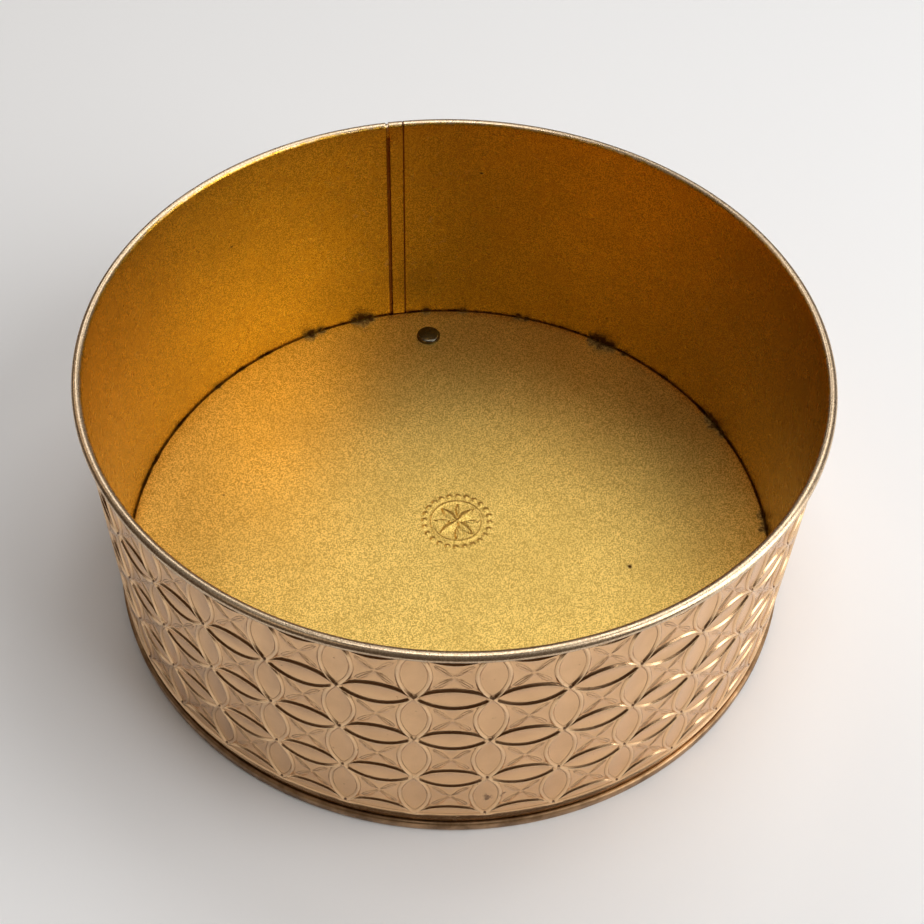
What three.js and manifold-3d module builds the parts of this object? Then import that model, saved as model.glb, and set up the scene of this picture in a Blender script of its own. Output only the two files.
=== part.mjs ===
// Round open cookie tin, in millimetres, +Z up, origin on the table under the tin's centre.
//
// Four pieces make the tin, put together the way a tin shop does it:
//   can_wall         one strip of lacquered tinplate, lock-seamed at the back, curled outwards at the top
//   embossed_sleeve  a thin decorative sheet round the wall, held by the curl above and the base seam below
//   bottom_end       the pressed bottom, double-seamed round the foot of the wall
//   floor_rivet      a domed rivet through the bottom, near the side seam
//
// The layers that are squeezed flat on a real seam stand one CLEARANCE apart here.

import * as THREE from "three";
import { mergeVertices } from "three/addons/utils/BufferGeometryUtils.js";
import Module from "manifold-3d";

const wasm = await Module();
wasm.setup();

// Driving dimensions
const RIM_RADIUS = 100; // outside of the curled rim
const HEIGHT = 82; // table to the top of the curled rim
const BEAD_RADIUS = 1.35; // half the thickness of the curled rim
const SHEET = 0.3; // tinplate thickness
const CLEARANCE = 0.3; // between the layers of the seams
const SLEEVE_THICKNESS = 0.8; // sheet and the depth of its embossing together
const FLOOR_TOP = 3.5; // inside face of the bottom above the table
const SEAM_HEIGHT = 3.3; // table to the top of the base seam
const LOCK_SEAM_WIDTH = 4.7; // the folded side seam, across
const LOCK_SEAM_RISE = 0.6; // two more layers of sheet, standing inwards
const LOCK_SEAM_ANGLE = 90 + 12.9; // degrees from +X, seen from above
const RIVET_PLACE = new THREE.Vector2(-10.5, 83.3);
const RIVET_HEAD_RADIUS = 4.0;
const RIVET_HEAD_HEIGHT = 2.0;
const RIVET_SHANK_RADIUS = 2.0;
const RIVET_TAIL_RADIUS = 3.0;
const RIVET_TAIL_HEIGHT = 1.0;
const RIVET_GAP = 0.1; // above and below the sheet that the rivet clamps
const ROUND_SIDES = 64; // facets round the tin
const RIVET_SIDES = 24; // facets round the rivet

// The centre lines of the base seam's five layers, from the inside out
const LAYER_PITCH = SHEET + CLEARANCE;
const WALL_RADIUS = RIM_RADIUS - 2 * BEAD_RADIUS + SHEET / 2;
const CHUCK_WALL_RADIUS = WALL_RADIUS - LAYER_PITCH;
const COVER_HOOK_RADIUS = WALL_RADIUS + LAYER_PITCH;
const BODY_HOOK_RADIUS = WALL_RADIUS + 2 * LAYER_PITCH;
const SEAM_PANEL_RADIUS = WALL_RADIUS + 3 * LAYER_PITCH;

// Points along an open centre line: arcs are cut into steps, straight stretches keep their ends.
function centreLine(path, stepsPerArc) {
  const points = [];
  for (const curve of path.curves) {
    const steps = curve.isLineCurve ? 1 : stepsPerArc;
    for (const point of curve.getPoints(steps)) {
      const last = points.at(-1);
      if (!last || last.distanceTo(point) > 1e-4) points.push(point);
    }
  }
  return points;
}

// Closed outline of a sheet of even thickness that follows a centre line, mitred at each bend.
function sheetOutline(centre, thickness) {
  const headings = centre.slice(1).map((point, i) => point.clone().sub(centre[i]).normalize());
  const left = [];
  const right = [];
  centre.forEach((point, i) => {
    const into = headings[i - 1] ?? headings[0];
    const away = headings[i] ?? headings.at(-1);
    const along = into.clone().add(away).normalize();
    const reach = thickness / 2 / along.dot(away);
    const across = new THREE.Vector2(-along.y, along.x).multiplyScalar(reach);
    left.push(point.clone().add(across));
    right.push(point.clone().sub(across));
  });
  return [...left, ...right.reverse()];
}

// A closed outline of radius and height turned about +Z. Outlines run so that the faces point out.
function turned(outline, sides) {
  const onAxis = outline.some((point) => point.x === 0);
  const counterClockwise = !THREE.ShapeUtils.isClockWise(outline);
  const ordered = counterClockwise ? [...outline] : [...outline].reverse();
  while (onAxis && !(ordered[0].x === 0 && ordered.at(-1).x === 0)) ordered.push(ordered.shift());
  if (!onAxis) ordered.push(ordered[0].clone());
  return new THREE.LatheGeometry(ordered, sides).rotateX(Math.PI / 2);
}

// three.js geometry to a manifold-3d solid, and back.
function solidOf(geometry) {
  const bare = geometry.clone();
  bare.deleteAttribute("normal");
  bare.deleteAttribute("uv");
  const merged = mergeVertices(bare, 1e-4);
  const vertProperties = new Float32Array(merged.attributes.position.array);
  const triVerts = new Uint32Array(merged.index.array);
  return new wasm.Manifold(new wasm.Mesh({ numProp: 3, vertProperties, triVerts }));
}

function geometryOf(solid) {
  const { vertProperties, triVerts } = solid.getMesh();
  const geometry = new THREE.BufferGeometry();
  geometry.setAttribute("position", new THREE.BufferAttribute(vertProperties, 3));
  geometry.setIndex(new THREE.BufferAttribute(triVerts, 1));
  geometry.computeVertexNormals();
  return geometry;
}

// The can wall: body hook in the base seam, straight side, and the rim curled outwards over itself.
function canWall() {
  const hookTop = SEAM_HEIGHT - 3 * CLEARANCE;
  const turnRadius = LAYER_PITCH;
  const turnCentreHeight = 2 * SHEET + SHEET / 2 + turnRadius;
  const curlCentre = new THREE.Vector2(RIM_RADIUS - BEAD_RADIUS, HEIGHT - BEAD_RADIUS);
  const curlRadius = BEAD_RADIUS - SHEET / 2;
  const curlEnd = THREE.MathUtils.degToRad(-60);
  const path = new THREE.Path();
  path.moveTo(BODY_HOOK_RADIUS, hookTop);
  path.lineTo(BODY_HOOK_RADIUS, turnCentreHeight);
  path.absarc(COVER_HOOK_RADIUS, turnCentreHeight, turnRadius, 0, -Math.PI, true);
  path.lineTo(WALL_RADIUS, curlCentre.y);
  path.absarc(curlCentre.x, curlCentre.y, curlRadius, Math.PI, curlEnd, true);
  const shell = solidOf(turned(sheetOutline(centreLine(path, 7), SHEET), ROUND_SIDES));
  return geometryOf(shell.add(lockSeam()));
}

// The side seam's folded layers: a flat rib up the inside of the wall, clear of the floor and the rim.
function lockSeam() {
  const foot = FLOOR_TOP + CLEARANCE;
  const top = HEIGHT - 2 * BEAD_RADIUS;
  const faceRadius = WALL_RADIUS - SHEET / 2 - LOCK_SEAM_RISE;
  const rootRadius = WALL_RADIUS - SHEET / 4; // within the wall's own sheet
  const middle = THREE.MathUtils.degToRad(LOCK_SEAM_ANGLE);
  const half = LOCK_SEAM_WIDTH / 2 / faceRadius;
  const section = new THREE.Shape();
  section.absarc(0, 0, rootRadius, middle - half, middle + half, false);
  section.absarc(0, 0, faceRadius, middle + half, middle - half, true);
  section.closePath();
  const settings = { depth: top - foot, bevelEnabled: false, curveSegments: 3 };
  return solidOf(new THREE.ExtrudeGeometry(section, settings).translate(0, 0, foot));
}

// The embossed sleeve: a plain tube of the embossing's full depth, from the base seam up into the curl.
function embossedSleeve() {
  const inner = WALL_RADIUS + SHEET / 2 + CLEARANCE;
  const outer = inner + SLEEVE_THICKNESS;
  const foot = SEAM_HEIGHT + CLEARANCE;
  const top = HEIGHT - 2;
  const outline = [
    new THREE.Vector2(inner, foot),
    new THREE.Vector2(outer, foot),
    new THREE.Vector2(outer, top),
    new THREE.Vector2(inner, top),
  ];
  return turned(outline, ROUND_SIDES);
}

// The bottom: flat panel, chuck wall, flat foot, seam panel and cover hook, with the rivet's hole.
function bottomEnd() {
  const panelHeight = FLOOR_TOP - SHEET / 2;
  const panelBend = 0.5;
  const footBend = 0.75;
  const footHeight = SHEET / 2;
  const turnRadius = LAYER_PITCH;
  const turnHeight = SEAM_HEIGHT - SHEET / 2 - turnRadius;
  const hookTip = SEAM_HEIGHT / 2;
  const path = new THREE.Path();
  path.moveTo(0, panelHeight);
  path.lineTo(CHUCK_WALL_RADIUS - panelBend, panelHeight);
  path.absarc(CHUCK_WALL_RADIUS - panelBend, panelHeight - panelBend, panelBend, Math.PI / 2, 0, true);
  path.lineTo(CHUCK_WALL_RADIUS, footHeight + footBend);
  path.absarc(CHUCK_WALL_RADIUS + footBend, footHeight + footBend, footBend, Math.PI, 1.5 * Math.PI);
  path.lineTo(SEAM_PANEL_RADIUS - footBend, footHeight);
  path.absarc(SEAM_PANEL_RADIUS - footBend, footHeight + footBend, footBend, -Math.PI / 2, 0);
  path.lineTo(SEAM_PANEL_RADIUS, turnHeight);
  path.absarc(BODY_HOOK_RADIUS, turnHeight, turnRadius, 0, Math.PI);
  path.lineTo(COVER_HOOK_RADIUS, hookTip);
  const panel = solidOf(turned(sheetOutline(centreLine(path, 3), SHEET), ROUND_SIDES));
  return geometryOf(panel.subtract(rivetHole()));
}

function rivetHole() {
  const drill = new THREE.CylinderGeometry(
    RIVET_SHANK_RADIUS + CLEARANCE,
    RIVET_SHANK_RADIUS + CLEARANCE,
    4 * FLOOR_TOP,
    RIVET_SIDES,
  );
  drill.rotateX(Math.PI / 2).translate(RIVET_PLACE.x, RIVET_PLACE.y, 0);
  return solidOf(drill);
}

// The rivet about its own axis: domed head above the floor, shank, and the tail hammered flat below.
function floorRivet() {
  const seat = FLOOR_TOP + RIVET_GAP;
  const tailTop = FLOOR_TOP - SHEET - RIVET_GAP;
  const domeRadius = (RIVET_HEAD_RADIUS ** 2 + RIVET_HEAD_HEIGHT ** 2) / (2 * RIVET_HEAD_HEIGHT);
  const domeSpan = Math.asin(RIVET_HEAD_RADIUS / domeRadius);
  const domeCentre = seat + RIVET_HEAD_HEIGHT - domeRadius;
  const outline = new THREE.Path();
  outline.moveTo(0, tailTop - RIVET_TAIL_HEIGHT);
  outline.lineTo(RIVET_TAIL_RADIUS, tailTop - RIVET_TAIL_HEIGHT);
  outline.lineTo(RIVET_TAIL_RADIUS, tailTop);
  outline.lineTo(RIVET_SHANK_RADIUS, tailTop);
  outline.lineTo(RIVET_SHANK_RADIUS, seat);
  outline.lineTo(RIVET_HEAD_RADIUS, seat);
  outline.absarc(0, domeCentre, domeRadius, Math.PI / 2 - domeSpan, Math.PI / 2);
  const points = centreLine(outline, 5);
  points.at(-1).x = 0;
  return turned(points, RIVET_SIDES);
}

function piece(name, geometry, color, roughness, metalness) {
  const mesh = new THREE.Mesh(geometry, new THREE.MeshStandardMaterial({ color, roughness, metalness }));
  mesh.name = name;
  return mesh;
}

const tin = new THREE.Group();
tin.name = "cookie_tin";
tin.add(piece("can_wall", canWall(), 0xb07c28, 0.42, 1));
tin.add(piece("embossed_sleeve", embossedSleeve(), 0xc99a72, 0.3, 1));
tin.add(piece("bottom_end", bottomEnd(), 0xc79a45, 0.42, 1));
const rivet = piece("floor_rivet", floorRivet(), 0x4a4640, 0.35, 1);
rivet.position.set(RIVET_PLACE.x, RIVET_PLACE.y, 0);
tin.add(rivet);

export default tin;
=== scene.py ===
from math import atan2, cos, hypot, pi, radians, sin, sqrt

import bmesh
import bpy
from mathutils import Matrix, Vector


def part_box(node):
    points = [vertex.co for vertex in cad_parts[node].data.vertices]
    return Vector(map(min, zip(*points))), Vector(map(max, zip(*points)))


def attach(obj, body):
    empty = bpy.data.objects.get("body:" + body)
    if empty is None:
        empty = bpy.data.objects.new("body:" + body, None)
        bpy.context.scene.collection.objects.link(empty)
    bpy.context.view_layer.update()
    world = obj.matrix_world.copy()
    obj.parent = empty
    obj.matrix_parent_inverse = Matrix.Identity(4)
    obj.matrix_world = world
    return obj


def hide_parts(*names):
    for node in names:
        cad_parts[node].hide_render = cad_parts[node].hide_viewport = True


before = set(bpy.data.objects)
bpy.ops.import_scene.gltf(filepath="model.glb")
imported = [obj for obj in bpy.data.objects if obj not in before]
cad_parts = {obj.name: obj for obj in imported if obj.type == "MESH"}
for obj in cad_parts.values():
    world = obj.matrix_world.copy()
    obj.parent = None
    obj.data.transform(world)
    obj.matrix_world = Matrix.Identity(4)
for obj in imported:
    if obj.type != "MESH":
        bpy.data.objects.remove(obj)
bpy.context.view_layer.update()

# ---------------------------------------------------------------------------------------------
# Bottom. A disc of gold-lacquered tinplate, pressed with a small rosette in the middle. Its edge
# is turned down, out and up, then rolled over the wall's folded foot: that roll is the base seam,
# which the tin stands on. The lacquer is on the inside only; the outside has gone dull.

MM = 0.001
SHEET = 0.3 * MM
LAYER = 0.6 * MM

bottom_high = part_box("bottom_end")[1]
FLOOR_TOP = bottom_high[2]
SEAM_OUTSIDE = bottom_high[0]
SEAM_TOP = 3.3 * MM
FLOOR_SIDES = 192
FLOOR_RIPPLE = 0.09 * MM
SEAM_DENTS = 0.03 * MM

ROSETTE_CENTRE = Vector((1.7, 1.7)) * MM
ROSETTE_TURN = radians(45)
ROSETTE_RADIUS = 11.5 * MM
ROSETTE_HEIGHT = 0.42 * MM
ROSETTE_RINGS = 42
RING_STEP = 0.3 * MM
PLAIN_FROM = 13 * MM
PLAIN_RINGS = 26
ROSETTE_FADE = 50 * MM


def arc(centre, radius, start, end, steps):
    """Points on an arc about (radius, height), from one direction to another in degrees."""
    turns = [radians(start + (end - start) * i / steps) for i in range(steps + 1)]
    return [(centre[0] + radius * cos(t), centre[1] + radius * sin(t)) for t in turns]


def straight(start, end, steps):
    """Points between two points, without the two ends."""
    shares = [i / steps for i in range(1, steps)]
    return [(start[0] + (end[0] - start[0]) * s, start[1] + (end[1] - start[1]) * s) for s in shares]


def even_angles(count):
    return [2 * pi * i / count for i in range(count)]


def around(radius, angle, height):
    """A point at an angle counted from the front of the tin towards its right."""
    return Vector((radius * sin(angle), -radius * cos(angle), height))


def turned_sheet(name, line, angles, lift, centre=lambda radius: (0.0, 0.0)):
    """A sheet turned about the tin's axis from its centre line, which runs with the inner face on its
    left. lift(place, angle, point) moves a point of the sheet off that line towards the inner face."""
    ring = len(angles)
    pole = line[0][0] == 0
    verts = []
    for i, (radius, height) in enumerate(line):
        before, after = line[max(i - 1, 0)], line[min(i + 1, len(line) - 1)]
        along = Vector((after[0] - before[0], after[1] - before[1])).normalized()
        inner = Vector((-along.y, along.x))
        shift = centre(radius)
        for angle in angles[:1] if pole and i == 0 else angles:
            spot = around(radius, angle, height) + Vector((*shift, 0))
            rise = lift(i, angle, spot)
            verts.append(spot + around(inner.x * rise, angle, inner.y * rise))
    faces = []
    first = 1 - ring if pole else 0
    for i in range(len(line) - 1):
        for j in range(ring):
            k = (j + 1) % ring
            low, high = first + i * ring, first + (i + 1) * ring
            if pole and i == 0:
                faces.append((0, high + j, high + k))
            else:
                faces.append((low + j, high + j, high + k, low + k))
    mesh = bpy.data.meshes.new(name)
    mesh.from_pydata(verts, [], faces)
    piece = bpy.data.objects.new(name, mesh)
    bpy.context.collection.objects.link(piece)
    return piece


def apply_modifiers(piece):
    """The piece's evaluated shape becomes its mesh."""
    shape = bpy.data.meshes.new_from_object(piece.evaluated_get(bpy.context.evaluated_depsgraph_get()))
    piece.modifiers.clear()
    piece.data = shape


def thicken(piece, thickness, outer_material=0):
    """Both faces and the cut edges of a sheet, about its centre surface."""
    wall = piece.modifiers.new("sheet", "SOLIDIFY")
    wall.thickness = thickness
    wall.offset = 0
    wall.use_even_offset = True
    wall.material_offset = outer_material
    wall.material_offset_rim = outer_material
    apply_modifiers(piece)


def smooth(piece, crease):
    piece.data.shade_smooth()
    piece.data.set_sharp_from_angle(angle=radians(crease))


def dome(distance, radius):
    """1 in the middle of a round boss, 0 at its edge and beyond."""
    return cos(pi / 2 * min(distance / radius, 1)) ** 2


def rosette(spot):
    """Height of the pressed rosette: a flower of four petals and four darts in a ring of beads. Lengths
    in it are shares of its radius."""
    x, y = spot.x - ROSETTE_CENTRE.x, spot.y - ROSETTE_CENTRE.y
    reach = hypot(x, y) / ROSETTE_RADIUS
    if reach > 1:
        return 0.0
    turn = atan2(y, x) - ROSETTE_TURN
    bead_turn = radians(15)
    off_bead = (turn + bead_turn / 2) % bead_turn - bead_turn / 2
    bead = dome(hypot(reach * cos(off_bead) - 0.88, reach * sin(off_bead)), 0.1)
    ring = 0.6 * dome(abs(reach - 0.68), 0.05)
    petal = (turn + pi / 4) % (pi / 2) - pi / 4
    petal_width = 0.17 * sin(pi * min(reach / 0.6, 1)) + 1e-6
    flower = dome(abs(reach * sin(petal)), petal_width) * (reach < 0.6)
    dart = (turn % (pi / 2)) - pi / 4
    dart_width = 0.07 * sin(pi * min(max(reach - 0.2, 0) / 0.4, 1)) + 1e-6
    darts = 0.7 * dome(abs(reach * sin(dart)), dart_width) * (0.2 < reach < 0.6)
    middle = dome(reach, 0.12)
    return ROSETTE_HEIGHT * max(bead, ring, flower, darts, middle)


def bottom_line():
    """The bottom's centre line: the floor, the step down to the foot, the seam's outside and its roll."""
    panel = FLOOR_TOP - SHEET / 2
    seam = SEAM_OUTSIDE - SHEET / 2
    chuck = seam - 4 * LAYER
    bend, foot_bend = 0.5 * MM, 0.75 * MM
    turn_height = SEAM_TOP - SHEET / 2 - LAYER
    rosette_rings = [(RING_STEP * i, panel) for i in range(ROSETTE_RINGS)]
    plain_width = chuck - bend - PLAIN_FROM
    plain_rings = [(PLAIN_FROM + plain_width * i / PLAIN_RINGS, panel) for i in range(PLAIN_RINGS)]
    foot = SHEET / 2
    return (
        rosette_rings
        + plain_rings
        + arc((chuck - bend, panel - bend), bend, 90, 0, 4)
        + arc((chuck + foot_bend, foot + foot_bend), foot_bend, 180, 270, 5)
        + arc((seam - foot_bend, foot + foot_bend), foot_bend, 270, 360, 6)
        + straight((seam, foot + foot_bend), (seam, turn_height), 3)
        + arc((seam - LAYER, turn_height), LAYER, 0, 180, 8)
        + [(seam - 2 * LAYER, SEAM_TOP / 2)]
    )


def bottom_lift(place, angle, spot):
    """The rosette, and the slight unevenness of a thin pressed sheet and of a rolled seam."""
    radius = hypot(spot.x, spot.y)
    flat_radius, seam_radius, foot_bend_top = 96 * MM, 99 * MM, 0.9 * MM
    if radius < flat_radius:
        swell = sin(3 * angle + 1.0 + 40 * radius) * sin(radius / flat_radius * pi)
        return rosette(spot) + FLOOR_RIPPLE * swell
    if radius > seam_radius and spot.z > foot_bend_top:
        return -SEAM_DENTS * (1 + sin(23 * angle) * sin(7 * angle + 2))
    return 0.0


def rosette_shift(radius):
    """The middle rings are centred on the rosette, and the outer ones on the tin."""
    share = max(0.0, 1 - max(radius - PLAIN_FROM, 0) / ROSETTE_FADE)
    return ROSETTE_CENTRE * share


bottom = turned_sheet("bottom", bottom_line(), even_angles(FLOOR_SIDES), bottom_lift, rosette_shift)


def add(tree, kind, inputs=None, **settings):
    """A node of a shader or geometry tree. An input's value is a number, a colour, or the socket that
    feeds it."""
    node = tree.nodes.new(kind)
    for name, value in settings.items():
        setattr(node, name, value)
    for socket, value in (inputs or {}).items():
        if isinstance(value, bpy.types.NodeSocket):
            tree.links.new(value, node.inputs[socket])
        else:
            node.inputs[socket].default_value = value
    return node


def new_material(name):
    """An empty material, its node tree, its output and the place on the piece that its pattern reads."""
    material = bpy.data.materials.new(name)
    material.use_nodes = True
    tree = material.node_tree
    tree.nodes.clear()
    output = add(tree, "ShaderNodeOutputMaterial")
    place = add(tree, "ShaderNodeTexCoord").outputs["Object"]
    return material, tree, output, place


def grain(tree, place, size, detail=3.0, roughness=0.6):
    """Noise with lumps of about that size."""
    settings = {"Vector": place, "Scale": 1 / size, "Detail": detail, "Roughness": roughness}
    return add(tree, "ShaderNodeTexNoise", settings).outputs["Fac"]


def ramp(tree, value, low, high, bottom=0.0, top=1.0, shape="SMOOTHSTEP"):
    """value from low to high becomes bottom to top."""
    settings = {"Value": value, "From Min": low, "From Max": high, "To Min": bottom, "To Max": top}
    return add(tree, "ShaderNodeMapRange", settings, interpolation_type=shape).outputs["Result"]


def calc(tree, operation, *values):
    settings = dict(enumerate(values))
    return add(tree, "ShaderNodeMath", settings, operation=operation).outputs[0]


def blend(tree, share, first, second):
    """First colour at 0, second colour at 1."""
    settings = {0: share, 6: first, 7: second}
    return add(tree, "ShaderNodeMix", settings, data_type="RGBA").outputs[2]


def rgb(red, green, blue):
    return (red, green, blue, 1.0)


# Rust and old crumbs that gathered in the corner: angle in degrees, size and height in millimetres.
CORNER_STAINS = (
    (212, 3.0, 0.4),
    (209.6, 2.2, 0.6),
    (202, 2.1, 0.6),
    (200.4, 4.1, 0.6),
    (199, 2.8, 0.4),
    (187, 2.0, 0.4),
    (179.4, 2.2, 0.6),
    (168, 2.1, 0.8),
    (166, 1.4, 0.2),
    (151.2, 3.1, 0.8),
    (149.6, 5.0, 1.0),
    (147.6, 3.9, 0.8),
    (144, 1.7, 0.0),
    (120.6, 3.1, 1.0),
    (118.8, 3.6, 0.8),
    (116, 1.8, 0.2),
    (95, 2.5, 0.6),
    (92, 2.8, 0.4),
    (235, 1.3, 0.0),
)
CORNER_RADIUS = 96.8 * MM
CORNER_BROWN = rgb(0.14, 0.040, 0.003)
# Brown for the stains and specks, and for the painted shade under the wall's bead.
STAIN_AND_SHADE_BROWN = rgb(0.060, 0.018, 0.003)
STAIN_RAGGED = 2.0
SPECK_RAGGED = 0.5
GRAIN = 0.27 * MM
FACET_DEPTH = 0.05 * MM
DIRT_ROUGHENS = 0.3

# Dark specks on the wall and the floor: place, and size in millimetres.
SPECKS = (
    (around(97.3 * MM, radians(176.7), 63 * MM), 0.9),
    (around(97.3 * MM, radians(227), 55 * MM), 0.8),
    (Vector((54, -13.3, 3.5)) * MM, 0.95),
    (Vector((-71, 9, 3.5)) * MM, 0.5),
    (Vector((-62, -31, 3.5)) * MM, 0.45),
)


def distance_from(tree, place, spot, stretch=(1, 1, 1)):
    """Distance to a spot, larger along the axes that are stretched."""
    away = add(tree, "ShaderNodeVectorMath", {0: place, 1: spot}, operation="SUBTRACT").outputs[0]
    scaled = add(tree, "ShaderNodeVectorMath", {0: away, 1: stretch}, operation="MULTIPLY").outputs[0]
    return add(tree, "ShaderNodeVectorMath", {0: scaled}, operation="LENGTH").outputs["Value"]


def marks(tree, place):
    """1 where a stain or a speck lies, with soft ragged edges."""
    ragged = calc(tree, "SUBTRACT", grain(tree, place, 1.7 * MM, 4, 0.65), 0.5)
    found = 0.0
    spots = []
    for angle, size, up in CORNER_STAINS:
        spots.append((around(CORNER_RADIUS, radians(angle), FLOOR_TOP + up * MM), size * MM, STAIN_RAGGED))
    for spot, size in SPECKS:
        spots.append((spot, size * MM, SPECK_RAGGED))
    for spot, size, raggedness in spots:
        distance = distance_from(tree, place, spot, (1, 1, 1.6))
        edge = calc(tree, "DIVIDE", distance, size)
        edge = calc(tree, "ADD", edge, calc(tree, "MULTIPLY", ragged, raggedness))
        found = calc(tree, "MAXIMUM", found, ramp(tree, edge, 0.25, 1.1, 0.95, 0))
    return found


def axis_distance(tree, place):
    """Distance from the tin's axis, and height above the table."""
    parts = add(tree, "ShaderNodeSeparateXYZ", {0: place}).outputs
    flat = add(tree, "ShaderNodeCombineXYZ", {0: parts[0], 1: parts[1]}).outputs[0]
    return add(tree, "ShaderNodeVectorMath", {0: flat}, operation="LENGTH").outputs["Value"], parts[2]


def corner_dirt(tree, place):
    """A thin line of dirt where the wall meets the floor, wider in some places."""
    radius, height = axis_distance(tree, place)
    up = calc(tree, "ABSOLUTE", calc(tree, "SUBTRACT", height, FLOOR_TOP))
    off = calc(tree, "ADD", up, calc(tree, "MAXIMUM", calc(tree, "SUBTRACT", CORNER_RADIUS, radius), 0.0))
    uneven = ramp(tree, grain(tree, place, 5 * MM, 5, 0.7), 0.4, 0.75, -0.1 * MM, 0.5 * MM)
    return ramp(tree, calc(tree, "SUBTRACT", off, uneven), 0, 0.25 * MM, 0.9, 0)


def gold_lacquer(name, pale, deep, contrast, metal, roughness, wear_and_shade=None):
    """Gold lacquer over tinplate: a sandy sparkle of small facets, faint blotches, and the stains of the
    corner. Its last argument, called with tree, place, sand and colour, adds one piece's own wear and
    painted shade, and returns the colour, the dirt and painted shade, and how deep the facets are."""
    material, tree, output, place = new_material(name)
    grains = add(tree, "ShaderNodeTexVoronoi", {"Vector": place, "Scale": 1 / GRAIN}).outputs
    sand = grains["Color"]
    cloud = grain(tree, place, 22 * MM, 4, 0.55)
    colour = blend(tree, ramp(tree, sand, 0.5 - contrast, 0.5 + contrast), deep, pale)
    colour = blend(tree, ramp(tree, cloud, 0.35, 0.75, 0.0, 0.3), colour, deep)
    colour = blend(tree, corner_dirt(tree, place), colour, CORNER_BROWN)
    dirt_and_shade = marks(tree, place)
    facet_depth = 1.0
    if wear_and_shade:
        colour, own_dirt_and_shade, facet_depth = wear_and_shade(tree, place, sand, colour)
        dirt_and_shade = calc(tree, "MAXIMUM", dirt_and_shade, own_dirt_and_shade)
    # The brown covers the stains and, on the wall, the painted shade under the bead.
    colour = blend(tree, dirt_and_shade, colour, STAIN_AND_SHADE_BROWN)
    facets = {"Height": grains["Distance"], "Strength": facet_depth, "Distance": FACET_DEPTH}
    haze = grain(tree, place, 9 * MM, 3)
    satin = ramp(tree, haze, 0.3, 0.7, roughness - 0.02, roughness + 0.03, "LINEAR")
    unmarked = calc(tree, "SUBTRACT", 1.0, dirt_and_shade)
    shader = add(tree, "ShaderNodeBsdfPrincipled", {
        "Base Color": colour,
        "Metallic": calc(tree, "MULTIPLY", unmarked, metal),
        "Specular IOR Level": calc(tree, "MULTIPLY", unmarked, 0.5),
        "Roughness": calc(tree, "ADD", satin, calc(tree, "MULTIPLY", dirt_and_shade, DIRT_ROUGHENS)),
        "Normal": add(tree, "ShaderNodeBump", facets).outputs[0],
    })
    tree.links.new(shader.outputs[0], output.inputs[0])
    return material


def dull_tinplate():
    """The bottom's outside: bare tinplate gone brown-grey, rubbed brighter in streaks."""
    material, tree, output, place = new_material("dull_tinplate")
    cloud = grain(tree, place, 7 * MM, 5, 0.65)
    fine = grain(tree, place, 0.5 * MM, 3)
    scratches = {"Height": fine, "Strength": 0.35, "Distance": 0.04 * MM}
    colour = blend(tree, ramp(tree, cloud, 0.3, 0.7), rgb(0.20, 0.115, 0.055), rgb(0.48, 0.30, 0.16))
    shader = add(tree, "ShaderNodeBsdfPrincipled", {
        "Base Color": colour,
        "Metallic": 1.0,
        "Roughness": ramp(tree, cloud, 0.3, 0.7, 0.5, 0.34, "LINEAR"),
        "Normal": add(tree, "ShaderNodeBump", scratches).outputs[0],
    })
    tree.links.new(shader.outputs[0], output.inputs[0])
    return material


FLOOR_PALE, FLOOR_DEEP = rgb(0.92, 0.64, 0.18), rgb(0.50, 0.32, 0.07)
floor_finish = {"contrast": 0.14, "metal": 0.95, "roughness": 0.38}
floor_gold = gold_lacquer("floor_gold_lacquer", FLOOR_PALE, FLOOR_DEEP, **floor_finish)
bottom.data.materials.append(floor_gold)
bottom.data.materials.append(dull_tinplate())
thicken(bottom, SHEET, outer_material=1)
smooth(bottom, crease=50)
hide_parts("bottom_end")
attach(bottom, "root")

# ---------------------------------------------------------------------------------------------
# Can wall. One strip of the same tinplate, rolled up and locked to itself in a folded side seam at
# the back. Its foot is hooked into the base seam, and its top edge is curled outwards as the rim.

wall_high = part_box("can_wall")[1]
RIM_TOP = wall_high[2]
RIM_OUTSIDE = wall_high[0]
BEAD = 1.33 * MM
SIDE_SEAM = radians(192.9)
SIDE_SEAM_WIDTH = 4.7 * MM
SIDE_SEAM_RISE = 0.5 * MM
SIDE_SEAM_DIP = 0.2 * MM
WALL_ROWS = 24
WALL_SIDES = 360
CURL_STEPS = 20
WALL_WAVE = 0.05 * MM
GROOVE_END = RIM_TOP - 3.8 * MM
GROOVE_FADE = 2 * MM


def wall_line():
    """The wall's centre line: its hooked foot, the wall and the rim's curl."""
    wall = SEAM_OUTSIDE - SHEET / 2 - 3 * LAYER
    turn_height = 2.5 * SHEET + LAYER
    bead_centre = (wall - SHEET / 2 + BEAD, RIM_TOP - 0.04 * MM - BEAD)
    foot = (wall, turn_height)
    return (
        [(wall + 2 * LAYER, SEAM_TOP - 0.9 * MM)]
        + arc((wall + LAYER, turn_height), LAYER, 0, -180, 6)
        + straight(foot, (wall, bead_centre[1]), WALL_ROWS)
        + arc(bead_centre, BEAD - SHEET / 2, 180, -60, CURL_STEPS)
    )


wall_centre_line = wall_line()
curl_start = len(wall_centre_line) - CURL_STEPS - 1


def seam_section(across):
    """Height of the side seam's fold above the wall, at a distance to the left of its middle."""
    half = SIDE_SEAM_WIDTH / 2
    stations = (
        (-half - 0.45 * MM, 0.0),
        (-half - 0.2 * MM, -SIDE_SEAM_DIP),
        (-half, -SIDE_SEAM_DIP),
        (-half + 0.15 * MM, SIDE_SEAM_RISE),
        (half - 0.65 * MM, 0.9 * SIDE_SEAM_RISE),
        (half - 0.35 * MM, -SIDE_SEAM_DIP),
        (half + 0.35 * MM, -SIDE_SEAM_DIP),
        (half + 0.75 * MM, 0.0),
    )
    for (start, low), (end, high) in zip(stations, stations[1:]):
        if start <= across < end:
            return low + (high - low) * (across - start) / (end - start)
    return 0.0


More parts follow.
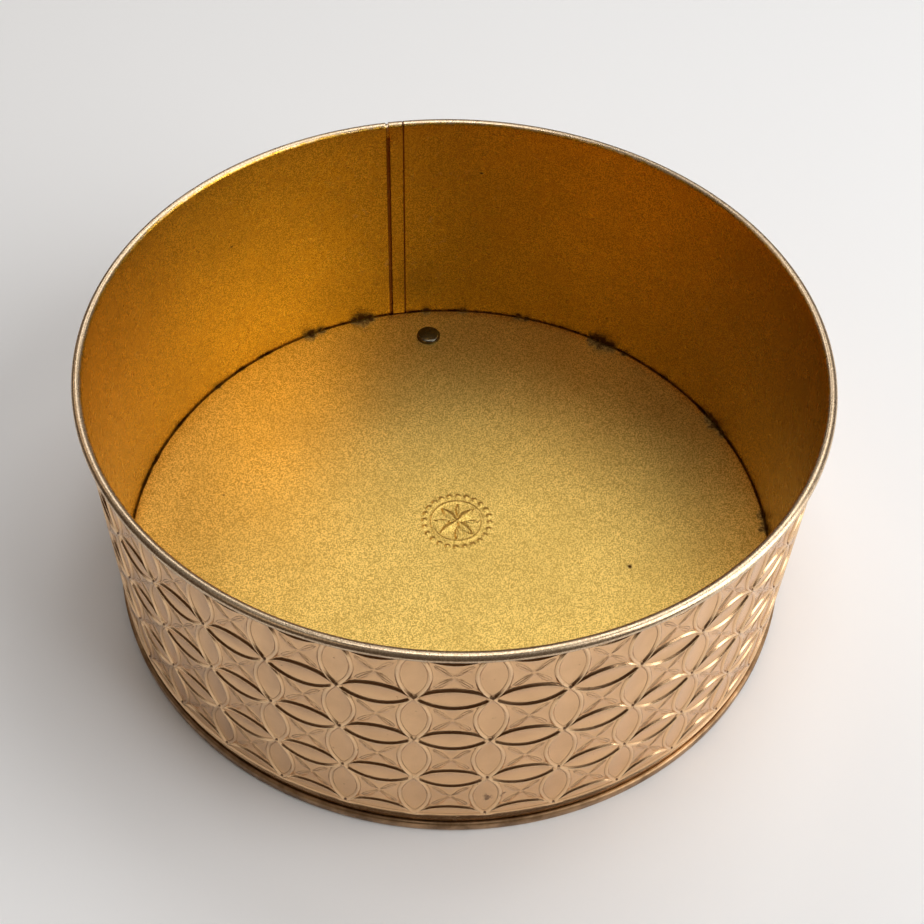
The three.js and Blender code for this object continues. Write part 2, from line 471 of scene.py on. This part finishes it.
def wall_lift(place, angle, spot):
    """The side seam, lower where it runs over the rim, and the wall's slight waviness."""
    across = (angle - SIDE_SEAM) * RIM_OUTSIDE
    section = seam_section(across)
    if place >= curl_start:
        return 2 * min(section, 0)
    if spot.z < FLOOR_TOP:
        return 0.0
    under_rim = min(max((GROOVE_END - spot.z) / GROOVE_FADE, 0), 1)
    if section < 0:
        section *= under_rim
    wave = WALL_WAVE * sin(5 * angle + 0.6) * sin(pi * spot.z / RIM_TOP)
    return section + wave


def wall_angles():
    """Even steps round the tin, with close ones across the side seam."""
    left = (-3.2, -2.8, -2.55, -2.35, -2.27, -2.2, -2.1, -1)
    right = (0.2, 1.4, 1.7, 1.85, 2, 2.35, 2.7, 2.9, 3.1, 3.5)
    near = [SIDE_SEAM + s * MM / RIM_OUTSIDE for s in left + right]
    steps = [angle for angle in even_angles(WALL_SIDES) if not near[0] - 0.01 < angle < near[-1] + 0.01]
    return sorted(steps + near)


WORN_FROM = wall_centre_line[curl_start][0] - SHEET / 2 + 0.1 * MM
WORN_PALE, WORN_DEEP = rgb(0.80, 0.61, 0.41), rgb(0.58, 0.42, 0.26)
WORN_SMOOTH = 0.85
GROOVE_BROWN = rgb(0.20, 0.055, 0.003)


def seam_grooves(tree, place, height):
    """1 in the wide groove at the left of the side seam, which ends below the rim, and in the fine one at
    its right."""
    aside = (cos(SIDE_SEAM), sin(SIDE_SEAM), 0)
    behind = (sin(SIDE_SEAM), -cos(SIDE_SEAM), 0)
    across = add(tree, "ShaderNodeVectorMath", {0: place, 1: aside}, operation="DOT_PRODUCT")
    back = add(tree, "ShaderNodeVectorMath", {0: place, 1: behind}, operation="DOT_PRODUCT")
    half = SIDE_SEAM_WIDTH / 2
    wide = calc(tree, "ABSOLUTE", calc(tree, "SUBTRACT", across.outputs["Value"], half + 0.05 * MM))
    fine = calc(tree, "ABSOLUTE", calc(tree, "ADD", across.outputs["Value"], half + 0.2 * MM))
    below_rim = ramp(tree, height, RIM_TOP - 5 * MM, GROOVE_END, 1.0, 0.0)
    groove = calc(tree, "MULTIPLY", ramp(tree, wide, 0.3 * MM, 0.85 * MM, 0.9, 0.0), below_rim)
    groove = calc(tree, "MAXIMUM", groove, ramp(tree, fine, 0.12 * MM, 0.5 * MM, 0.85, 0.0))
    return calc(tree, "MULTIPLY", groove, ramp(tree, back.outputs["Value"], 0, MM))


def wall_wear_and_shade(tree, place, sand, colour):
    """The rim worn smooth to a pale champagne, painted shade under its bead, and the side seam's brown
    grooves.
    """
    radius, height = axis_distance(tree, place)
    wavy = calc(tree, "ADD", radius, ramp(tree, grain(tree, place, 3 * MM), 0.2, 0.8, -0.2 * MM, 0.2 * MM))
    worn = ramp(tree, wavy, WORN_FROM, WORN_FROM + 0.5 * MM)
    colour = blend(tree, worn, colour, blend(tree, ramp(tree, sand, 0.3, 0.7), WORN_DEEP, WORN_PALE))
    facet_depth = calc(tree, "SUBTRACT", 1.0, calc(tree, "MULTIPLY", worn, WORN_SMOOTH))
    # Painted shade: the outer underside of the bead is darkened, and returned with the dirt.
    low = ramp(tree, height, RIM_TOP - 2.4 * MM, RIM_TOP - 1.5 * MM, 0.85, 0.0)
    outside = ramp(tree, radius, WORN_FROM + 0.3 * MM, WORN_FROM + 0.8 * MM)
    colour = blend(tree, seam_grooves(tree, place, height), colour, GROOVE_BROWN)
    return colour, calc(tree, "MULTIPLY", low, outside), facet_depth


can_wall = turned_sheet("wall", wall_centre_line, wall_angles(), wall_lift)
WALL_PALE, WALL_DEEP = rgb(0.84, 0.475, 0.045), rgb(0.48, 0.25, 0.017)
wall_finish = {"contrast": 0.14, "metal": 0.88, "roughness": 0.27}
wall_gold = gold_lacquer("wall_gold_lacquer", WALL_PALE, WALL_DEEP, wear_and_shade=wall_wear_and_shade, **wall_finish)
can_wall.data.materials.append(wall_gold)
thicken(can_wall, SHEET)
smooth(can_wall, crease=50)
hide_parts("can_wall")
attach(can_wall, "root")

# ---------------------------------------------------------------------------------------------
# Rivet. A dark steel rivet set through the bottom beside the side seam, its head domed above the
# floor and its tail hammered flat underneath.

rivet_low, rivet_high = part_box("floor_rivet")
RIVET_CENTRE = Vector(((rivet_low[0] + rivet_high[0]) / 2, (rivet_low[1] + rivet_high[1]) / 2))
RIVET_HEAD = (rivet_high[0] - rivet_low[0]) / 2
RIVET_RISE = 1.75 * MM
RIVET_DOME = 0.25 * MM
RIVET_SHANK = 2.0 * MM
RIVET_TAIL = 3.0 * MM
RIVET_SIDES = 48


def rivet_profile():
    """Outline from the tail's middle to the top of the head, which is rounded at its rim and nearly flat
    on top."""
    tail_top = FLOOR_TOP - SHEET - 0.02 * MM
    tail_bottom = tail_top - 1.0 * MM
    tail_round = 0.4 * MM
    seat = FLOOR_TOP + 0.02 * MM
    shoulder = 0.95 * MM
    crown = RIVET_RISE - RIVET_DOME - shoulder
    inner = RIVET_HEAD - shoulder
    top = seat + crown + shoulder
    return (
        [(0, tail_bottom), (RIVET_TAIL - tail_round, tail_bottom)]
        + arc((RIVET_TAIL - tail_round, tail_bottom + tail_round), tail_round, -80, 0, 4)
        + [(RIVET_TAIL - 0.1 * MM, tail_top), (RIVET_SHANK, tail_top), (RIVET_SHANK, seat)]
        + [(RIVET_HEAD - 0.15 * MM, seat), (RIVET_HEAD, seat + 0.12 * MM)]
        + arc((inner, seat + crown), shoulder, 0, 80, 7)
        + [(inner * share, top + RIVET_DOME * (1 - share**2)) for share in (0.9, 0.7, 0.5, 0.3, 0.15)]
        + [(0, top + RIVET_DOME)]
    )


def turned_solid(name, profile, sides, centre):
    """A solid turned about an upright axis, its outline running up its outside from pole to pole."""
    mesh = bmesh.new()
    poles = [mesh.verts.new((centre.x, centre.y, profile[i][1])) for i in (0, -1)]
    rings = []
    for radius, height in profile[1:-1]:
        spots = [around(radius, angle, height) for angle in even_angles(sides)]
        rings.append([mesh.verts.new((spot.x + centre.x, spot.y + centre.y, spot.z)) for spot in spots])
    for j in range(sides):
        k = (j + 1) % sides
        mesh.faces.new((poles[0], rings[0][k], rings[0][j]))
        mesh.faces.new((poles[1], rings[-1][j], rings[-1][k]))
        for low, high in zip(rings, rings[1:]):
            mesh.faces.new((low[j], low[k], high[k], high[j]))
    bmesh.ops.recalc_face_normals(mesh, faces=mesh.faces)
    data = bpy.data.meshes.new(name)
    mesh.to_mesh(data)
    mesh.free()
    piece = bpy.data.objects.new(name, data)
    bpy.context.collection.objects.link(piece)
    return piece


def dark_steel():
    """Blued steel, rubbed bright in patches."""
    material, tree, output, place = new_material("dark_steel")
    patch = grain(tree, place, 1.4 * MM, 5, 0.6)
    pitting = {"Height": patch, "Strength": 0.3, "Distance": 0.04 * MM}
    colour = blend(tree, ramp(tree, patch, 0.5, 0.8), rgb(0.13, 0.118, 0.09), rgb(0.24, 0.21, 0.16))
    shader = add(tree, "ShaderNodeBsdfPrincipled", {
        "Base Color": colour,
        "Metallic": 1.0,
        "Roughness": ramp(tree, patch, 0.35, 0.75, 0.28, 0.22, "LINEAR"),
        "Normal": add(tree, "ShaderNodeBump", pitting).outputs[0],
    })
    tree.links.new(shader.outputs[0], output.inputs[0])
    return material


rivet = turned_solid("rivet", rivet_profile(), RIVET_SIDES, RIVET_CENTRE)
rivet.data.materials.append(dark_steel())
smooth(rivet, crease=50)
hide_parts("floor_rivet")
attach(rivet, "root")

# ---------------------------------------------------------------------------------------------
# Embossed sleeve. A thin rose-gold strip, rolled between patterned rollers and wrapped round the
# can wall, with its ends lapped at the back. Its top edge is caught under the rim, and two fine ribs
# run round its foot. The pattern is a net of overlapping circles, with a star between each four petals.

sleeve_low, sleeve_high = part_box("embossed_sleeve")
SLEEVE_OUTSIDE = sleeve_high[0]
SLEEVE_FOOT = sleeve_low[2] + 0.05 * MM
SLEEVE_DEPTH = 0.8 * MM
COLUMNS = 34
ROWS = 4
FIRST_COLUMN = radians(-3.8)
PATTERN_FOOT = 7.35 * MM
CELL_HEIGHT = 18.33 * MM
CELL_WIDTH = 2 * pi * SLEEVE_OUTSIDE / COLUMNS

# Inside one cell, lengths are shares of the cell's width and its middle is the origin.
CIRCLE = sqrt(0.5)
RIDGE = 0.75 * MM / CELL_WIDTH
ARM_START, ARM_END, ARM_WIDTH = 0.02, 0.37, 0.05
TIP_PIT = 0.035
ROW_STATIONS = (0, 0.045, 0.11, 0.18, 0.255, 0.33, 0.415, 0.5)

# Depths below the sleeve's outside are negative.
PETAL_LEVEL = -0.60 * MM
GROUND_LEVEL = -0.64 * MM
ARM_RISE = 0.27 * MM
RIB_LEVEL = -0.5 * MM
RIB_RISE = 0.42 * MM
LAP_COLUMN = 19
LAP_STEP = 0.15 * MM
DENTS = 0.12 * MM
DENT_SIZE = 13 * MM
SEWING_GAP = 0.002 * MM


def arm_width(y):
    """Half-width of the star's arm, a long leaf split along its middle, at a height in the cell."""
    share = (2 * y * CIRCLE - ARM_START) / (ARM_END - ARM_START)
    return ARM_WIDTH * sin(pi * min(max(share, 0), 1)) ** 0.7


def emboss(x, y):
    """Height of the pattern below the sleeve's outside, at a point of the cell."""
    x, y = sorted((abs(x), abs(y)), reverse=True)
    near = min(abs(hypot(x - cx, y - cy) - CIRCLE) for cx in (0, 1) for cy in (0, 1))
    in_petal = max(CIRCLE - hypot(x - 1, y), CIRCLE - hypot(x, y - 1)) > 0
    ground = PETAL_LEVEL if in_petal else GROUND_LEVEL
    half = arm_width(y)
    across = (x - y) * CIRCLE
    arm = 0.0
    if across < half and not in_petal:
        arm = ARM_RISE * sin(pi * (0.15 + 0.85 * across / half)) ** 2 * (half / ARM_WIDTH) ** 0.5
    ridge = 0.5 + 0.5 * cos(pi * min(near / RIDGE, 1))
    return max(ground + arm, ground * (1 - ridge))


def eighth_of_cell():
    """Points from a cell's diagonal to the petal's axis, in rows from its middle up to its corner.
    Columns follow the star's arm and the ridge round the petal, and close up towards the corner."""
    rows = []
    for y in ROW_STATIONS:
        level = sqrt(CIRCLE**2 - y * y)
        ridge_x = 1 - level
        flank = RIDGE * CIRCLE / level
        half = max(arm_width(y), 0.4 * ARM_WIDTH) / CIRCLE
        squeeze = min(1, (ridge_x - y) / (half + 1.2 * flank))
        xs = [y, y + 0.41 * half * squeeze, y + half * squeeze]
        foot = ridge_x - flank * squeeze
        xs += [(xs[-1] + foot) / 2, foot]
        xs += [ridge_x - 0.75 * flank * squeeze, ridge_x - 0.25 * flank * squeeze]
        inner = flank * min(1, (0.5 - ridge_x) / (1.15 * flank))
        xs += [ridge_x, ridge_x + 0.25 * inner, ridge_x + 0.75 * inner, ridge_x + inner, 0.5]
        rows.append([(x, y) for x in xs])
    return rows


def cell_mesh():
    """One cell of the pattern: an eighth of it, turned and mirrored eight times."""
    mesh = bmesh.new()
    rows = eighth_of_cell()
    turns = [(a, b, swap) for a in (1, -1) for b in (1, -1) for swap in (False, True)]
    for a, b, swap in turns:
        grid = []
        for row in rows:
            spots = [(a * y, b * x) if swap else (a * x, b * y) for x, y in row]
            grid.append([mesh.verts.new((x + 0.5, y + 0.5, emboss(x, y))) for x, y in spots])
        flip = (a * b < 0) != swap
        for low, high in zip(grid, grid[1:]):
            for j in range(len(low) - 1):
                corners = [low[j], low[j + 1], high[j + 1], high[j]]
                mesh.faces.new(reversed(corners) if flip else corners)
    bmesh.ops.remove_doubles(mesh, verts=mesh.verts, dist=1e-5)
    bmesh.ops.dissolve_degenerate(mesh, edges=mesh.edges, dist=1e-6)
    data = bpy.data.meshes.new("cell")
    mesh.to_mesh(data)
    mesh.free()
    return data


def border_mesh():
    """One column's ribs, foot, back and top: the rest of the sheet round the pattern, as a closed loop."""
    ribs = [(i, RIB_LEVEL + RIB_RISE * sin(pi * i / 4) ** 2) for i in range(1, 9)]
    top = PATTERN_FOOT + ROWS * CELL_HEIGHT
    foot_band = [(PATTERN_FOOT - 0.35 * MM - i * 0.3 * MM, depth) for i, depth in ribs]
    loop = foot_band + [
        (SLEEVE_FOOT + 0.25 * MM, -0.30 * MM),
        (SLEEVE_FOOT, -0.42 * MM),
        (SLEEVE_FOOT, -SLEEVE_DEPTH),
        (top, -SLEEVE_DEPTH),
    ]
    across = sorted({sign * y for y in ROW_STATIONS for sign in (1, -1)})
    mesh = bmesh.new()
    grid = []
    for x in across:
        lip = emboss(x, 0.5)
        rest = [((height - PATTERN_FOOT) / CELL_HEIGHT, depth) for height, depth in loop]
        column = [(0.0, lip)] + rest + [(ROWS, lip)]
        grid.append([mesh.verts.new((x + 0.5, y, depth)) for y, depth in column])
    for left, right in zip(grid, grid[1:]):
        for j in range(len(left) - 1):
            mesh.faces.new((left[j], left[j + 1], right[j + 1], right[j]))
    data = bpy.data.meshes.new("border")
    mesh.to_mesh(data)
    mesh.free()
    return data


# Small flaws of the sleeve: angle in degrees, height and size in millimetres.
SLEEVE_FLAWS = (
    (7.0, 15.5, 1.9),
    (9.5, 16.5, 1.2),
    (-15.7, 32.6, 0.8),
    (2.8, 6.8, 0.6),
    (2.3, 3.9, 0.7),
    (-9.5, 17.0, 0.7),
)
FLAW_RAGGED = 3.2
ROSE_PALE, ROSE_DEEP = rgb(0.83, 0.52, 0.275), rgb(0.72, 0.44, 0.23)
# A lighter rose for the raised ridges: rubbed metal and a painted highlight.
ROSE_RUBBED_HIGHLIGHT = rgb(0.98, 0.72, 0.44)
# Brown for the dirt in the pits, flaws and specks, and for the painted shade under the rim and along the
# ridges.
PIT_AND_SHADE_BROWN = rgb(0.10, 0.035, 0.008)


def pattern_dirt_and_shade(tree, place):
    """Dirt in the pits at the petals' tips, and painted shade along the feet of the ridges. It reads where
    a
    point lies in the flat pattern: its column, its row and its depth."""
    pattern = add(tree, "ShaderNodeAttribute", attribute_name="pattern").outputs["Vector"]
    column, row, depth = add(tree, "ShaderNodeSeparateXYZ", {0: pattern}).outputs
    aside = calc(tree, "PINGPONG", column, 0.5)
    above = calc(tree, "SUBTRACT", calc(tree, "WRAP", row, 0.5, -0.5), TIP_PIT)
    from_pit = add(tree, "ShaderNodeCombineXYZ", {0: aside, 1: above}).outputs[0]
    distance = add(tree, "ShaderNodeVectorMath", {0: from_pit}, operation="LENGTH").outputs["Value"]
    pits = ramp(tree, distance, 0.012, 0.028, 0.9, 0.0)
    # Painted shade: a dark band, uneven in strength, along the foot of every ridge.
    risen = ramp(tree, depth, PETAL_LEVEL, 0.94 * PETAL_LEVEL)
    uneven = ramp(tree, grain(tree, place, 6 * MM, 3), 0.35, 0.65, 0.15, 0.55)
    foot = ramp(tree, depth, 0.9 * PETAL_LEVEL, 0.7 * PETAL_LEVEL, uneven, 0.0)
    return calc(tree, "MAXIMUM", pits, calc(tree, "MULTIPLY", risen, foot)), depth


def flaw_dirt_and_rim_shade(tree, place):
    """Painted shade under the rim, and dirt in the flaws and in a few fine specks."""
    height = add(tree, "ShaderNodeSeparateXYZ", {0: place}).outputs[2]
    # Painted shade: the top of the sleeve darkens just under the rim.
    dirt_and_shade = ramp(tree, height, RIM_TOP - 4.2 * MM, RIM_TOP - 2.6 * MM, 0.0, 0.6)
    ragged = calc(tree, "SUBTRACT", grain(tree, place, 1.1 * MM, 4, 0.7), 0.5)
    for angle, up, size in SLEEVE_FLAWS:
        spot = around(SLEEVE_OUTSIDE, radians(angle), up * MM)
        distance = distance_from(tree, place, spot)
        edge = calc(tree, "DIVIDE", distance, size * MM)
        edge = calc(tree, "ADD", edge, calc(tree, "MULTIPLY", ragged, FLAW_RAGGED))
        dirt_and_shade = calc(tree, "MAXIMUM", dirt_and_shade, ramp(tree, edge, 0.2, 1.0, 0.85, 0.0))
    specks = ramp(tree, grain(tree, place, 1.4 * MM, 2), 0.72, 0.78, 0.0, 0.6)
    return calc(tree, "MAXIMUM", dirt_and_shade, specks)


def rose_gold():
    """Rose-gold metal with a soft satin finish, ridges rubbed bright with a painted highlight, old dirt and
    painted shade.
    """
    material, tree, output, place = new_material("rose_gold")
    cloud = grain(tree, place, 12 * MM, 4, 0.6)
    fine = grain(tree, place, 0.35 * MM, 3, 0.6)
    pit_dirt_and_ridge_shade, depth = pattern_dirt_and_shade(tree, place)
    dirt_and_shade = calc(tree, "MAXIMUM", pit_dirt_and_ridge_shade, flaw_dirt_and_rim_shade(tree, place))
    # Painted highlight, as well as rubbed metal: the raised parts of the pattern are lighter.
    rubbed_and_highlight = ramp(tree, depth, 0.75 * PETAL_LEVEL, 0.2 * PETAL_LEVEL, 0.0, 0.4)
    colour = blend(tree, ramp(tree, cloud, 0.3, 0.7), ROSE_DEEP, ROSE_PALE)
    colour = blend(tree, rubbed_and_highlight, colour, ROSE_RUBBED_HIGHLIGHT)
    # One brown for the dirt and for the painted shade.
    colour = blend(tree, dirt_and_shade, colour, PIT_AND_SHADE_BROWN)
    satin = ramp(tree, cloud, 0.3, 0.7, 0.20, 0.25)
    unevenness = {"Height": fine, "Strength": 0.25, "Distance": 0.03 * MM}
    shader = add(tree, "ShaderNodeBsdfPrincipled", {
        "Base Color": colour,
        "Metallic": calc(tree, "SUBTRACT", 1.0, calc(tree, "MULTIPLY", dirt_and_shade, 0.5)),
        "Roughness": calc(tree, "ADD", satin, calc(tree, "MULTIPLY", dirt_and_shade, DIRT_ROUGHENS)),
        "Normal": add(tree, "ShaderNodeBump", unevenness).outputs[0],
    })
    tree.links.new(shader.outputs[0], output.inputs[0])
    return material


def new_input(tree, name, kind, value=None):
    socket = tree.interface.new_socket(name, in_out="INPUT", socket_type=kind)
    if value is not None:
        socket.default_value = value
    return socket


def wrapped_pattern(material):
    """The tree that repeats the cell in columns and rows, adds the border to each column, and wraps
    the flat sheet round the can."""
    tree = bpy.data.node_groups.new("wrapped_pattern", "GeometryNodeTree")
    new_input(tree, "Cell", "NodeSocketGeometry")
    new_input(tree, "Border", "NodeSocketObject")
    new_input(tree, "Columns", "NodeSocketInt", COLUMNS)
    new_input(tree, "Rows", "NodeSocketInt", ROWS)
    new_input(tree, "Cell height", "NodeSocketFloat", CELL_HEIGHT)
    new_input(tree, "Pattern foot", "NodeSocketFloat", PATTERN_FOOT)
    new_input(tree, "Radius", "NodeSocketFloat", SLEEVE_OUTSIDE)
    new_input(tree, "First column", "NodeSocketFloat", FIRST_COLUMN)
    new_input(tree, "Lap column", "NodeSocketInt", LAP_COLUMN)
    new_input(tree, "Lap step", "NodeSocketFloat", LAP_STEP)
    new_input(tree, "Dents", "NodeSocketFloat", DENTS)
    tree.interface.new_socket("Sleeve", in_out="OUTPUT", socket_type="NodeSocketGeometry")
    given = add(tree, "NodeGroupInput").outputs

    up = add(tree, "GeometryNodeMeshLine", {"Count": given["Rows"], "Offset": (0, 1, 0)}).outputs[0]
    stack = add(tree, "GeometryNodeInstanceOnPoints", {"Points": up, "Instance": given["Cell"]}).outputs[0]
    border = add(tree, "GeometryNodeObjectInfo", {"Object": given["Border"]}).outputs["Geometry"]
    column = add(tree, "GeometryNodeJoinGeometry")
    tree.links.new(stack, column.inputs[0])
    tree.links.new(border, column.inputs[0])
    one = add(tree, "GeometryNodeRealizeInstances", {0: column.outputs[0]}).outputs[0]
    sideways = {"Count": given["Columns"], "Offset": (1, 0, 0)}
    along = add(tree, "GeometryNodeMeshLine", sideways).outputs[0]
    strip = add(tree, "GeometryNodeInstanceOnPoints", {"Points": along, "Instance": one}).outputs[0]
    flat = add(tree, "GeometryNodeRealizeInstances", {0: strip}).outputs[0]

    flat_place = add(tree, "GeometryNodeInputPosition").outputs[0]
    spot = add(tree, "ShaderNodeSeparateXYZ", {0: flat_place}).outputs
    kept = add(tree, "GeometryNodeStoreNamedAttribute", {
        "Geometry": flat,
        "Name": "pattern",
        "Value": flat_place,
    }, data_type="FLOAT_VECTOR").outputs[0]
    column_angle = calc(tree, "DIVIDE", 2 * pi, given["Columns"])
    angle = calc(tree, "ADD", calc(tree, "MULTIPLY", spot[0], column_angle), given["First column"])
    height = calc(tree, "ADD", calc(tree, "MULTIPLY", spot[1], given["Cell height"]), given["Pattern foot"])
    past_lap = calc(tree, "SUBTRACT", spot[0], given["Lap column"])
    under_lap = calc(tree, "MULTIPLY", ramp(tree, past_lap, 0, 0.04), ramp(tree, past_lap, 0.1, 2.5, 1, 0))
    sheet = calc(tree, "SUBTRACT", spot[2], calc(tree, "MULTIPLY", under_lap, given["Lap step"]))
    radius = calc(tree, "ADD", sheet, given["Radius"])
    side = calc(tree, "MULTIPLY", radius, calc(tree, "SINE", angle))
    front = calc(tree, "MULTIPLY", radius, calc(tree, "MULTIPLY", calc(tree, "COSINE", angle), -1.0))
    wrapped = add(tree, "ShaderNodeCombineXYZ", {0: side, 1: front, 2: height}).outputs[0]
    bent = add(tree, "GeometryNodeSetPosition", {"Geometry": kept, "Position": wrapped}).outputs[0]

    round_place = add(tree, "GeometryNodeInputPosition").outputs[0]
    lumps = {"Vector": round_place, "Scale": 1 / DENT_SIZE, "Detail": 1.0}
    lump = add(tree, "ShaderNodeTexNoise", lumps).outputs["Fac"]
    inward = calc(tree, "MULTIPLY", calc(tree, "MULTIPLY", lump, given["Dents"]), -1.0)
    parts = add(tree, "ShaderNodeSeparateXYZ", {0: round_place}).outputs
    from_axis = add(tree, "ShaderNodeCombineXYZ", {0: parts[0], 1: parts[1]}).outputs[0]
    outward = add(tree, "ShaderNodeVectorMath", {0: from_axis}, operation="NORMALIZE").outputs[0]
    push = add(tree, "ShaderNodeVectorMath", {0: outward, "Scale": inward}, operation="SCALE").outputs[0]
    dented = add(tree, "GeometryNodeSetPosition", {"Geometry": bent, "Offset": push}).outputs[0]

    sewing = {"Geometry": dented, "Distance": SEWING_GAP}
    sewn = add(tree, "GeometryNodeMergeByDistance", sewing).outputs[0]
    lone = add(tree, "GeometryNodeRealizeInstances", {0: sewn}).outputs[0]
    done = add(tree, "GeometryNodeSetMaterial", {"Geometry": lone, "Material": material}).outputs[0]
    add(tree, "NodeGroupOutput", {0: done})
    return tree


def set_input(modifier, name, value):
    """A geometry tree's input is set by its socket's identifier."""
    for item in modifier.node_group.interface.items_tree:
        if item.item_type == "SOCKET" and item.in_out == "INPUT" and item.name == name:
            modifier[item.identifier] = value


border = bpy.data.objects.new("border", border_mesh())
bpy.context.collection.objects.link(border)
sleeve = bpy.data.objects.new("sleeve", cell_mesh())
bpy.context.collection.objects.link(sleeve)
rose_gold_metal = rose_gold()
wrap = sleeve.modifiers.new("wrapped_pattern", "NODES")
wrap.node_group = wrapped_pattern(rose_gold_metal)
set_input(wrap, "Border", border)
apply_modifiers(sleeve)
bpy.data.objects.remove(border)
smooth(sleeve, crease=60)
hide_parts("embossed_sleeve")
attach(sleeve, "root")

# ---------------------------------------------------------------------------------------------
# Studio. A pale table whose front edge ends near the tin, a broad window light and a small low one at
# the right, soft lights from above and behind, weak warm ones at the left, and a dim room round them.
# The camera looks down into the tin from the front.

TABLE_LEFT, TABLE_RIGHT = -0.32, 0.7
TABLE_FRONT, TABLE_BACK = -0.2, 0.6
WARM = (1.0, 0.80, 0.58)


def pale_floor():
    material, tree, output, place = new_material("pale_floor")
    shader = add(tree, "ShaderNodeBsdfPrincipled", {
        "Base Color": rgb(0.94, 0.94, 0.94),
        "Roughness": 0.9,
        "Specular IOR Level": 0.1,
    })
    tree.links.new(shader.outputs[0], output.inputs[0])
    return material


ground_mesh = bpy.data.meshes.new("ground")
ground_corners = [
    (TABLE_LEFT, TABLE_FRONT, 0),
    (TABLE_RIGHT, TABLE_FRONT, 0),
    (TABLE_RIGHT, TABLE_BACK, 0),
    (TABLE_LEFT, TABLE_BACK, 0),
]
ground_mesh.from_pydata(ground_corners, [], [(0, 1, 2, 3)])
ground = bpy.data.objects.new("ground", ground_mesh)
ground.data.materials.append(pale_floor())
bpy.context.collection.objects.link(ground)


def soft_light(name, turn, rise, distance, size, power, colour=(1, 1, 1)):
    """A square light facing the tin, at an angle from the front towards the right and a rise above the
    table, both in degrees."""
    lamp = bpy.data.lights.new(name, "AREA")
    lamp.shape = "SQUARE"
    lamp.size = size
    lamp.energy = power
    lamp.color = colour
    place = around(distance * cos(radians(rise)), radians(turn), distance * sin(radians(rise)))
    light = bpy.data.objects.new(name, lamp)
    light.matrix_world = Matrix.Translation(place) @ place.to_track_quat("Z", "Y").to_matrix().to_4x4()
    bpy.context.collection.objects.link(light)
    return light


soft_light("window_light", 72, 36, 1.3, 1.0, 10.8)
soft_light("low_window_light", 82, 5, 1.3, 0.6, 4.4)
soft_light("high_light", 145, 60, 1.3, 0.75, 4.2)
soft_light("top_light", 0, 89, 1.4, 0.5, 2.8)
soft_light("back_light", 204, 48, 1.3, 0.5, 1.5)
soft_light("fill_light", -42, 40, 1.3, 0.5, 0.5, WARM)
soft_light("left_light", -118, 34, 1.3, 0.5, 0.6, WARM)

world = bpy.data.worlds.new("room")
bpy.context.scene.world = world
world.use_nodes = True
room = world.node_tree
room.nodes.clear()
direction = add(room, "ShaderNodeTexCoord").outputs["Generated"]
rise = add(room, "ShaderNodeSeparateXYZ", {0: direction}).outputs[2]
dim_walls = rgb(0.05, 0.03, 0.018)
ceiling = rgb(0.10, 0.10, 0.10)
backdrop = rgb(0.95, 0.95, 0.95)
dim = blend(room, ramp(room, rise, 0.45, 0.8), dim_walls, ceiling)
seen = add(room, "ShaderNodeLightPath").outputs["Is Camera Ray"]
shown = blend(room, seen, dim, backdrop)
background = add(room, "ShaderNodeBackground", {"Color": shown, "Strength": 1.0})
add(room, "ShaderNodeOutputWorld", {0: background.outputs[0]})

bpy.context.scene.view_settings.view_transform = "Standard"

CAMERA_RISE = radians(48.63)
CAMERA_ROLL = radians(2.03)
CAMERA_DISTANCE = 4.3088 * RIM_OUTSIDE
CAMERA_LENS = 54.46
AIM = Vector((2.6, 16.46, 14.49)) * MM

camera_data = bpy.data.cameras.new("camera")
camera_data.sensor_width = 36
camera_data.lens = CAMERA_LENS
camera_data.clip_start = 0.01
camera = bpy.data.objects.new("camera", camera_data)
view_from = AIM + Vector((0, -cos(CAMERA_RISE), sin(CAMERA_RISE))) * CAMERA_DISTANCE
tilt = Matrix.Rotation(pi / 2 - CAMERA_RISE, 4, "X") @ Matrix.Rotation(CAMERA_ROLL, 4, "Z")
camera.matrix_world = Matrix.Translation(view_from) @ tilt
bpy.context.collection.objects.link(camera)
bpy.context.scene.camera = camera
